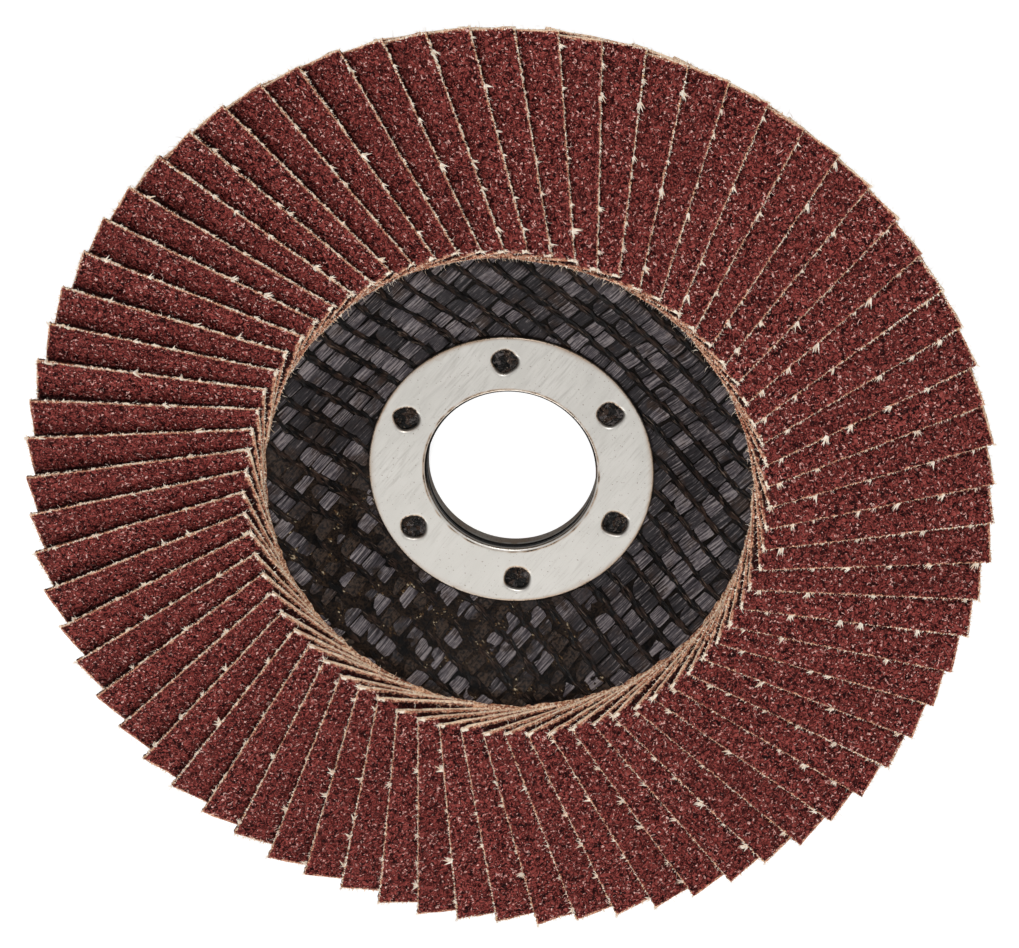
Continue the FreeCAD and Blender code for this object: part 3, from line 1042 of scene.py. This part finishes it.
glue_mesh = turned_mesh("glue_bead", rounded_outline([
    (glue_inner, plate_front, 0.0),
    (glue_outer, plate_front, 0.0),
    (glue_outer, glue_top, 0.18 * MM),
    (glue_inner + 0.7 * MM, glue_top, 0.0),
    (flap_inner + 0.30 * MM, glue_top + 0.50 * MM, 0.10 * MM),
    (flap_inner + 0.02 * MM, glue_top + 0.35 * MM, 0.10 * MM),
    (flap_inner - 0.20 * MM, plate_front + 0.2 * MM, 0.0),
    (flap_inner - 0.26 * MM, plate_front, 0.0),
]), glue_shape)
smooth_by_angle(glue_mesh)
glue_mesh.materials.append(glue_finish())
place_piece("glue_bead", glue_mesh, ["glue_bed"])

# The flaps: strips cut from abrasive cloth, grit on a brown-sized cotton back. Each stands
# with one long edge in the glue and leans on the next, so that the cut edges show as pale,
# frayed lines with loose threads.

flap_count = 72
flap_step = math.tau / flap_count
flap_turn = math.radians(4.3)
flap_length = 29.6 * MM
flap_width = 13.2 * MM
flap_thickness = 0.8 * MM
flap_play = 0.03 * MM
raised_edge = -11.1 * MM
flap_lean = math.asin((flap_thickness + flap_play) / (flap_inner * math.sin(flap_step)))
work_face = cad_high.z
yarn_end_pitch = 0.27 * MM
grit_size = 0.42 * MM


def chipped_size(tree, where):
    """The brown size and cotton that show where the grit has broken away at a cut."""
    run = vector_of(tree, calc(tree, "DIVIDE", written(tree, "from_edge"), 0.75 * MM),
                    calc(tree, "DIVIDE", written(tree, "from_end"), 0.20 * MM),
                    times_plus(tree, written(tree, "depth"), 2.6,
                               times(tree, written(tree, "shade"), 90.0)))
    strands = speckle(tree, run, 1.0, 2.0, 0.6)
    fluff = speckle(tree, where, 0.24 * MM, 3.0, 0.65)
    fluff = plus(tree, times(tree, fluff, 0.6), times(tree, strands, 0.4))
    colour = two_tone(tree, fluff, (0.40, 0.56), (152, 82, 64), (220, 164, 132))
    colour = tinted(tree, colour, fluff, (0.54, 0.62, 0.0, 0.9), (249, 226, 202))
    return tinted(tree, colour, fluff, (0.39, 0.46, 0.95, 0.0), (92, 34, 28)), fluff


def grit_colour(tree, where, grain):
    """The colour of the grains alone: painted shade in the creases and hollows between them, brown-red
    faces, and small bright curves that are painted highlights.
    """
    bent = from_node(tree, "ShaderNodeTexNoise", {
        "Vector": where, "Scale": 1 / grain, "Detail": 1.0, "Distortion": 0.6,
    })
    hollow = speckle(tree, where, 1.7 * grain, 3.0, 0.6)
    tone = parts_of(tree, grains(tree, where, 0.75 * grain))
    colour = mix_paint(tree, tone[0], paint(115, 46, 42), paint(160, 79, 73))
    middle = calc(tree, "ABSOLUTE", minus(tree, bent, 0.49))
    # Painted shade: dark lines in the creases between grains.
    crease_shade = ramp(tree, middle, 0.045, 0.10, 1.0, 0.0)
    crease_shade = times(tree, crease_shade, ramp(tree, hollow, 0.42, 0.62, 1.0, 0.7))
    colour = mix_paint(tree, crease_shade, colour, paint(14, 2, 3))
    # Painted shade: dark patches in the hollows.
    colour = tinted(tree, colour, hollow, (0.34, 0.42, 0.85, 0.0), (14, 2, 3))
    band = calc(tree, "ABSOLUTE", minus(tree, bent, 0.645))
    # Painted highlights: small bright curves on the grains.
    painted_glint = times(tree, ramp(tree, band, 0.020, 0.05, 1.0, 0.0), ramp(tree, tone[1], 0.62, 0.74))
    colour = mix_paint(tree, painted_glint, colour, paint(230, 188, 178))
    return colour, hollow, bent


def grit_finish():
    """Brown-red abrasive grains in a coat of resin, each with its own tone, chipped at the cuts, with
    painted shade at the foot of each step where the next flap stands over it.
    """
    material, tree, surface, where = new_finish("abrasive_grit", shine=0.035)
    shade = written(tree, "shade")
    clouds = speckle(tree, where, 3.5 * MM, 3.0)
    colour, hollow, bent = grit_colour(tree, where, grit_size)
    wide = times_plus(tree, shade, 0.16, times(tree, clouds, 0.12))
    colour = mix_paint(tree, wide, colour, paint(66, 22, 21))
    # Painted shade: the grit darkens towards the foot of each step, next to the raised edge of the
    # flap over it.
    foot = times_plus(tree, minus(tree, hollow, 0.5), -1.2 * MM, written(tree, "foot"))
    colour = tinted(tree, colour, foot, (0.0, 0.42 * MM, 0.86, 0.0), (16, 5, 5))
    chipped = chipped_size(tree, where)[0]
    wander = minus(tree, speckle(tree, where, 0.6 * MM, 4.0, 0.7), 0.5)
    from_end = times_plus(tree, wander, -1.6 * MM, written(tree, "from_end"))
    bare_end = ramp(tree, from_end, 0.08 * MM, 0.42 * MM, 0.95, 0.0)
    from_tip = times_plus(tree, wander, -1.0 * MM, written(tree, "from_tip"))
    bare_tip = ramp(tree, from_tip, 0.10 * MM, 0.24 * MM, 1.0, 0.0)
    from_edge = times_plus(tree, wander, -1.1 * MM, written(tree, "from_edge"))
    bare_edge = ramp(tree, from_edge, 0.0, 0.10 * MM, 1.0, 0.0)
    bare = calc(tree, "MAXIMUM", bare_end, calc(tree, "MAXIMUM", bare_tip, bare_edge))
    colour = mix_paint(tree, bare, colour, chipped)
    corner = calc(tree, "MAXIMUM", times(tree, from_end, 1.0 / (0.30 * MM)),
                  times(tree, from_edge, 1.0 / (0.85 * MM)))
    colour = tinted(tree, colour, corner, (0.8, 1.15, 0.95, 0.0), (248, 234, 214))
    gloss = ramp(tree, bent, 0.35, 0.65, 0.18, 0.36)
    dress(tree, surface, colour, times_plus(tree, bare, 0.5, gloss))
    relief(tree, surface, plus(tree, hollow, bent), 0.40 * MM)
    return material


def cut_finish():
    """The cut edge of the cloth: brown size under the grit, cotton that frays out in places, and
    painted shade over its lower part.
    """
    material, tree, surface, where = new_finish("cut_cloth", 0.9, 0.06)
    depth = written(tree, "depth")
    chipped, fluff = chipped_size(tree, where)
    clusters = speckle(tree, where, 1.1 * MM, 3.0, 0.65)
    frayed = ramp(tree, clusters, 0.48, 0.58)
    uneven = times_plus(tree, minus(tree, fluff, 0.5), 0.9, depth)
    cotton = two_tone(tree, fluff, (0.40, 0.54), (222, 182, 144), (252, 242, 224))
    lip = mix_paint(tree, frayed, chipped, cotton)
    colour = mix_paint(tree, ramp(tree, uneven, 0.05, 0.16), chipped, lip)
    end = written(tree, "end")
    colour = mix_paint(tree, times(tree, end, ramp(tree, fluff, 0.42, 0.52, 0.30, 0.95)), colour,
                       paint(255, 228, 198))
    # Painted shade: below its pale top, the cut face is darkened as if in shade, nearly black on the
    # long edges and lighter at the ends.
    pale_to = times_plus(tree, frayed, 0.26, times_plus(tree, end, 0.54, 0.16))
    shaded = ramp(tree, minus(tree, uneven, pale_to), 0.0, 0.14, 0.0, 0.95)
    shade_tone = mix_paint(tree, end, paint(40, 16, 12), paint(176, 96, 70))
    colour = mix_paint(tree, shaded, colour, shade_tone)
    dress(tree, surface, colour)
    relief(tree, surface, fluff, 0.20 * MM)
    return material


def back_finish():
    """The back of the cloth: brown cotton twill, filled with size."""
    material, tree, surface, where = new_finish("cloth_back", 0.85, 0.1)
    fluff = speckle(tree, where, 0.3 * MM, 3.0)
    blotches = speckle(tree, where, 4 * MM, 3.0)
    colour = two_tone(tree, blotches, (0.3, 0.7), (128, 74, 44), (164, 104, 66))
    colour = tinted(tree, colour, fluff, (0.55, 0.75, 0.0, 0.5), (196, 146, 104))
    dress(tree, surface, colour)
    twill = speckle(tree, stretched(tree, where, math.radians(30), 1.2 * MM, 0.25 * MM), 1.0)
    relief(tree, surface, plus(tree, fluff, twill), 0.10 * MM)
    return material


def cotton_finish():
    """Loose cotton: thread ends and hairs, from cream to nearly white."""
    material, tree, surface, where = new_finish("loose_cotton", 0.9, 0.1)
    shade = written(tree, "shade")
    fluff = speckle(tree, where, 0.2 * MM, 2.0)
    pale = ramp(tree, shade, 0.0, 0.45, kind="LINEAR")
    colour = mix_paint(tree, pale, paint(222, 178, 134), paint(252, 244, 230))
    colour = tinted(tree, colour, fluff, (0.35, 0.6, 0.3, 0.0), (190, 138, 96))
    dress(tree, surface, colour)
    relief(tree, surface, fluff, 0.05 * MM)
    return material


def spike(tree, foot, length):
    """A wisp of cotton, pointing up: four-sided, wide at its foot."""
    return from_node(tree, "GeometryNodeMeshCone", {
        "Vertices": 4, "Side Segments": 1, "Radius Top": 0.0, "Radius Bottom": foot, "Depth": length,
    })


def hair(tree):
    """One loose cotton hair, pointing up and curving over."""
    length = 1.0 * MM
    shaft = from_node(tree, "GeometryNodeMeshCone", {
        "Vertices": 3, "Side Segments": 2, "Radius Top": 0.014 * MM, "Radius Bottom": 0.036 * MM,
        "Depth": length,
    })
    share = calc(tree, "DIVIDE", place_of(tree)[2], length)
    bend = times(tree, times(tree, share, share), 0.34 * MM)
    return moved(tree, shaft, vector_of(tree, bend, 0.0, times(tree, bend, -0.4)))


def edge_points(tree, count, start, step, jitter, seed):
    """Points along an edge, each a little out of line."""
    line = from_node(tree, "GeometryNodeMeshLine", {
        "Count": count, "Start Location": start, "Offset": step,
    })
    low = tuple(-reach for reach in jitter)
    return moved(tree, line, field_of(tree, low, jitter, seed))


def fringe(tree, seed, key, facing, start, step, count, longest, hair_share):
    """Yarn ends and hairs along one cut edge. facing is the way that the edge looks."""
    stream = times_plus(tree, seed, 40.0, float(key))
    ends = edge_points(tree, count, start, step, (0.12 * MM, 0.06 * MM, 0.07 * MM), stream)
    turn = field_of(tree, (0.80, -0.3, facing - 0.7), (1.55, 0.3, facing + 0.7), plus(tree, stream, 1))
    grow = field_of(tree, (0.5, 0.6, 0.2), (1.2, 1.3, 1.0), plus(tree, stream, 2))
    stubs = spread(tree, ends, spike(tree, 0.12 * MM, longest), turn, grow)
    hair_count = max(2, int(count * hair_share))
    gap = tuple(reach * (count - 1) / (hair_count - 1) for reach in step)
    roots = edge_points(tree, hair_count, start, gap, (0.5 * MM, 0.1 * MM, 0.2 * MM),
                        plus(tree, stream, 3))
    turn = field_of(tree, (0.5, -0.5, facing - 1.1), (1.8, 0.5, facing + 1.1), plus(tree, stream, 4))
    grow = field_of(tree, (0.8, 0.8, 0.35), (1.1, 1.1, 1.0), plus(tree, stream, 5))
    hairs = spread(tree, roots, hair(tree), turn, grow)
    return joined(tree, stubs, hairs)


def tufts(tree, seed, key, facing, start, step, count, size, fan):
    """Brushes of white cotton where several yarns have frayed together."""
    stream = times_plus(tree, seed, 40.0, float(key))
    roots = edge_points(tree, 9, (0.0, 0.0, 0.0), (0.0, 0.0, 0.0),
                        (0.15 * MM, 0.08 * MM, 0.02 * MM), stream)
    lean = field_of(tree, (-fan, -fan, -3.1), (fan, fan, 3.1), plus(tree, stream, 1))
    grow = field_of(tree, (0.6, 0.6, 0.45), (1.2, 1.2, 1.1), plus(tree, stream, 2))
    brush = spread(tree, roots, spike(tree, 0.13 * MM, 0.95 * MM), lean, grow)
    spots = edge_points(tree, count, start, step, (1.6 * MM * min(1, count - 1), 0.05 * MM, 0.1 * MM),
                        plus(tree, stream, 3))
    turn = field_of(tree, (0.75, -0.2, facing - 0.35), (1.30, 0.2, facing + 0.35),
                    plus(tree, stream, 4))
    width = field_of(tree, 0.20 * size, 1.10 * size, plus(tree, stream, 5))
    return spread(tree, spots, brush, turn, width)


def wander_of(tree, seed, scale):
    """Noise about zero over the points of a flap, different for each seed."""
    swing = from_node(tree, "ShaderNodeTexNoise", {
        "Vector": tree.nodes.new("GeometryNodeInputPosition").outputs[0],
        "W": times(tree, seed, 1.37), "Scale": scale, "Detail": 1.0,
    }, noise_dimensions="4D")
    return minus(tree, swing, 0.5)


def make_flap_tree():
    """The tree for one flap: its strip of cloth, cut edges and loose threads."""
    tree, given, result = new_tree("flap", [
        ("Turn", "Float"), ("Seed", "Int"), ("Length", "Float"), ("Width", "Float"),
        ("Thickness", "Float"), ("Inner end", "Float"), ("Raised edge", "Float"),
        ("Work face", "Float"), ("Lean", "Float"), ("Grit", "Material"), ("Cut", "Material"),
        ("Back", "Material"), ("Cotton", "Material"),
    ])
    seed = given["Seed"]
    length = given["Length"]
    width = given["Width"]
    thickness = given["Thickness"]
    hair_line = 0.01 * MM
    strip = from_node(tree, "GeometryNodeMeshCube", {
        "Size": vector_of(tree, length, width, thickness),
        "Vertices X": 190, "Vertices Y": 8, "Vertices Z": 3,
    })
    strip = moved(tree, strip, vector_of(tree, calc(tree, "DIVIDE", length, 2.0),
                                         calc(tree, "DIVIDE", width, 2.0),
                                         calc(tree, "DIVIDE", thickness, -2.0)))
    share = calc(tree, "DIVIDE", place_of(tree)[1], width)
    closer = minus(tree, calc(tree, "POWER", share, 1.7), share)
    strip = moved(tree, strip, vector_of(tree, 0.0, times(tree, closer, width)))
    along, across, up = place_of(tree)
    depth = calc(tree, "DIVIDE", up, times(tree, thickness, -1.0))
    at_inner = calc(tree, "LESS_THAN", along, hair_line)
    at_outer = calc(tree, "GREATER_THAN", along, minus(tree, length, hair_line))
    at_raised = calc(tree, "LESS_THAN", across, hair_line)
    # How far each point lies from the line where the next flap covers it, written as foot for the
    # painted shade at the foot of each step.
    covered_from = times(tree, plus(tree, given["Inner end"], along),
                         math.tan(flap_step) / math.cos(flap_lean))
    for name, value in (
        ("depth", depth),
        ("end", calc(tree, "ADD", at_inner, at_outer, clamp=True)),
        ("shade", field_of(tree, 0.0, 1.0, seed, key=1)),
        ("from_end", along),
        ("from_tip", minus(tree, length, along)),
        ("from_edge", across),
        ("foot", minus(tree, covered_from, across)),
    ):
        strip = named(tree, strip, name, value)
    fray = wander_of(tree, seed, 2100.0)
    swell = wander_of(tree, seed, 110.0)
    share = calc(tree, "DIVIDE", along, length)
    free = minus(tree, 1.0, calc(tree, "DIVIDE", across, width))
    curl = field_of(tree, -0.45 * MM, 0.22 * MM, seed, key=2)
    lift = times(tree, times(tree, curl, free), times(tree, share, share))
    lift = times_plus(tree, times(tree, swell, share), 0.45 * MM, lift)
    lift = times_plus(tree, fray, 0.06 * MM, lift)
    belly = times(tree, times(tree, depth, minus(tree, 1.0, depth)), 4.0)
    end_side = minus(tree, at_outer, at_inner)
    lowest = calc(tree, "GREATER_THAN", depth, 0.9)
    undercut = times(tree, lowest,
                     times_plus(tree, calc(tree, "ABSOLUTE", end_side), 0.22 * MM, -0.34 * MM))
    bulge = times_plus(tree, belly, 0.05 * MM, undercut)
    ragged = times_plus(tree, fray, times_plus(tree, belly, 0.35 * MM, 0.50 * MM), bulge)
    strip = moved(tree, strip, vector_of(tree, times(tree, ragged, end_side),
                                         times(tree, times(tree, ragged, at_raised), -1.0),
                                         lift))
    looks = parts_of(tree, tree.nodes.new("GeometryNodeInputNormal").outputs[0])[2]
    strip = finished(tree, strip, given["Cut"])
    strip = finished(tree, strip, given["Grit"], calc(tree, "GREATER_THAN", looks, 0.86))
    strip = finished(tree, strip, given["Back"], calc(tree, "LESS_THAN", looks, -0.86))

    cotton = -0.36 * flap_thickness
    side_count = int(flap_length / yarn_end_pitch)
    end_count = int(flap_width / yarn_end_pitch)
    loose = [
        fringe(tree, seed, 1, -0.5, (0.1 * MM, 0.06 * MM, cotton), (yarn_end_pitch, 0.0, 0.0),
               side_count, 0.46 * MM, 0.14),
        fringe(tree, seed, 7, -math.pi / 2, (0.08 * MM, 0.1 * MM, cotton),
               (0.0, 0.75 * yarn_end_pitch, 0.0), int(end_count / 0.75), 0.42 * MM, 0.20),
        fringe(tree, seed, 13, math.pi / 2, (flap_length - 0.08 * MM, 0.1 * MM, cotton),
               (0.0, yarn_end_pitch, 0.0), end_count, 0.50 * MM, 0.25),
        tufts(tree, seed, 19, -0.65, (2.4 * MM, 0.0, cotton), (4.9 * MM, 0.0, 0.0), 6, 1.4, 0.55),
        tufts(tree, seed, 25, -0.6, (0.1 * MM, 0.05 * MM, cotton), (0.0, 0.0, 0.0), 1, 1.0, 0.75),
        tufts(tree, seed, 31, 0.6, (flap_length - 0.1 * MM, 0.05 * MM, cotton), (0.0, 0.0, 0.0),
              1, 0.8, 0.6),
    ]
    loose = finished(tree, joined(tree, *loose), given["Cotton"])
    flap = joined(tree, strip, loose)
    slip = field_of(tree, -0.22 * MM, 0.22 * MM, seed, key=3)
    corner = vector_of(tree, plus(tree, given["Inner end"], slip),
                       given["Raised edge"], given["Work face"])
    flap = turned(tree, flap, vector_of(tree, times(tree, given["Lean"], -1.0)), corner)
    flap = turned(tree, flap, vector_of(tree, up=given["Turn"]))
    tree.links.new(creased(tree, flap, math.radians(40)), result.inputs[0])
    return tree


def make_pair_tree(flap_tree):
    """The tree for two neighbouring flaps."""
    sizes = [(item.name, item.socket_type.replace("NodeSocket", ""))
             for item in flap_tree.interface.items_tree if item.in_out == "INPUT"]
    tree, given, result = new_tree("flap_pair", sizes)
    both = []
    for place in range(2):
        flap = tree.nodes.new("GeometryNodeGroup")
        flap.node_tree = flap_tree
        for title, kind in sizes:
            tree.links.new(given[title], flap.inputs[title])
        plug(tree, plus(tree, given["Turn"], place * flap_step), flap.inputs["Turn"])
        plug(tree, plus(tree, given["Seed"], place), flap.inputs["Seed"])
        both.append(flap.outputs[0])
    whole = add_node(tree, "GeometryNodeRealizeInstances", {"Geometry": joined(tree, *both)})
    tree.links.new(whole.outputs[0], result.inputs[0])
    return tree


flap_finishes = {
    "Grit": grit_finish(),
    "Cut": cut_finish(),
    "Back": back_finish(),
    "Cotton": cotton_finish(),
}
pair_tree = make_pair_tree(make_flap_tree())
for pair in range(flap_count // 2):
    pair_name = f"flap_cloth_{pair + 1:02d}"
    pair_mesh = mesh_from_tree(pair_name, pair_tree, {
        "Turn": flap_turn + 2 * pair * flap_step,
        "Seed": 2 * pair,
        "Length": flap_length,
        "Width": flap_width,
        "Thickness": flap_thickness,
        "Inner end": flap_inner,
        "Raised edge": raised_edge,
        "Work face": work_face,
        "Lean": flap_lean,
        **flap_finishes,
    })
    place_piece(pair_name, pair_mesh, [f"flap_pair_{pair + 1:02d}"])

# The floor, the light and the view. The disc lies on a plain white floor under a large soft
# light, and is seen from above its far side, a little turned.

floor_half = 1.5
floor_mesh = bpy.data.meshes.new("floor")
floor_mesh.from_pydata([
    (-floor_half, -floor_half, cad_low.z),
    (floor_half, -floor_half, cad_low.z),
    (floor_half, floor_half, cad_low.z),
    (-floor_half, floor_half, cad_low.z),
], [], [(0, 1, 2, 3)])
floor = bpy.data.objects.new("floor", floor_mesh)
bpy.context.scene.collection.objects.link(floor)


def floor_finish():
    """A white floor: its own brightness keeps the background white, and its shade the shadow."""
    material = bpy.data.materials.new("white_floor")
    material.use_nodes = True
    tree = material.node_tree
    surface = tree.nodes["Principled BSDF"]
    surface.inputs["Base Color"].default_value = (0.32, 0.32, 0.32, 1.0)
    surface.inputs["Roughness"].default_value = 1.0
    surface.inputs["Specular IOR Level"].default_value = 0.0
    surface.inputs["Emission Color"].default_value = (1.0, 1.0, 1.0, 1.0)
    seen = tree.nodes.new("ShaderNodeLightPath").outputs["Is Camera Ray"]
    tree.links.new(times(tree, seen, 0.82), surface.inputs["Emission Strength"])
    return material


floor_mesh.materials.append(floor_finish())

room_light = 0.45
world = bpy.data.worlds.new("white_room")
world.use_nodes = True
bpy.context.scene.world = world
room = world.node_tree
background = room.nodes["Background"]
background.inputs["Color"].default_value = (1.0, 1.0, 1.0, 1.0)
path = room.nodes.new("ShaderNodeLightPath").outputs
upward = parts_of(room, room.nodes.new("ShaderNodeTexCoord").outputs["Generated"])[2]
mirrored = minus(room, ramp(room, upward, 0.2, 0.8, 0.12, 1.0), room_light)
brightness = times_plus(room, path["Is Camera Ray"], 1.0 - room_light, room_light)
brightness = times_plus(room, path["Is Glossy Ray"], mirrored, brightness)
room.links.new(brightness, background.inputs["Strength"])


def add_soft_light(name, place, size, power):
    """A square soft light that faces the middle of the disc."""
    data = bpy.data.lights.new(name, "AREA")
    data.size = size
    data.energy = power
    light = bpy.data.objects.new(name, data)
    light.location = place
    light.rotation_mode = "QUATERNION"
    light.rotation_quaternion = Vector(place).to_track_quat("Z", "Y")
    bpy.context.scene.collection.objects.link(light)


add_soft_light("overhead_light", (0.12, 0.42, 0.88), 0.70, 1.7)
add_soft_light("key_light", (0.0, 0.60, 0.70), 0.16, 2.9)
add_soft_light("fill_light", (-0.12, -0.72, 0.60), 0.50, 4.4)

camera_tilt = math.radians(22.846)
camera_roll = math.radians(-4.563)
camera_distance = 452.2 * MM
focal_pixels = 3450.0
image_width = 1019.0
axis_right_of_centre = 1.36
axis_above_centre = 2.49
camera_data = bpy.data.cameras.new("camera")
camera_data.sensor_width = 36.0
camera_data.lens = focal_pixels * camera_data.sensor_width / image_width
camera_data.shift_x = -axis_right_of_centre / image_width
camera_data.shift_y = -axis_above_centre / image_width
camera_data.clip_start = 0.01
camera = bpy.data.objects.new("camera", camera_data)
to_camera = Matrix.Rotation(camera_tilt, 3, "X") @ Matrix.Rotation(camera_roll, 3, "Y")
to_world = to_camera.transposed()
stand = to_world @ Vector((0, 0, camera_distance)) + Vector((0, 0, ring_face))
camera.matrix_world = Matrix.Translation(stand) @ to_world.to_4x4()
bpy.context.scene.collection.objects.link(camera)
bpy.context.scene.camera = camera
bpy.context.scene.view_settings.view_transform = "Standard"
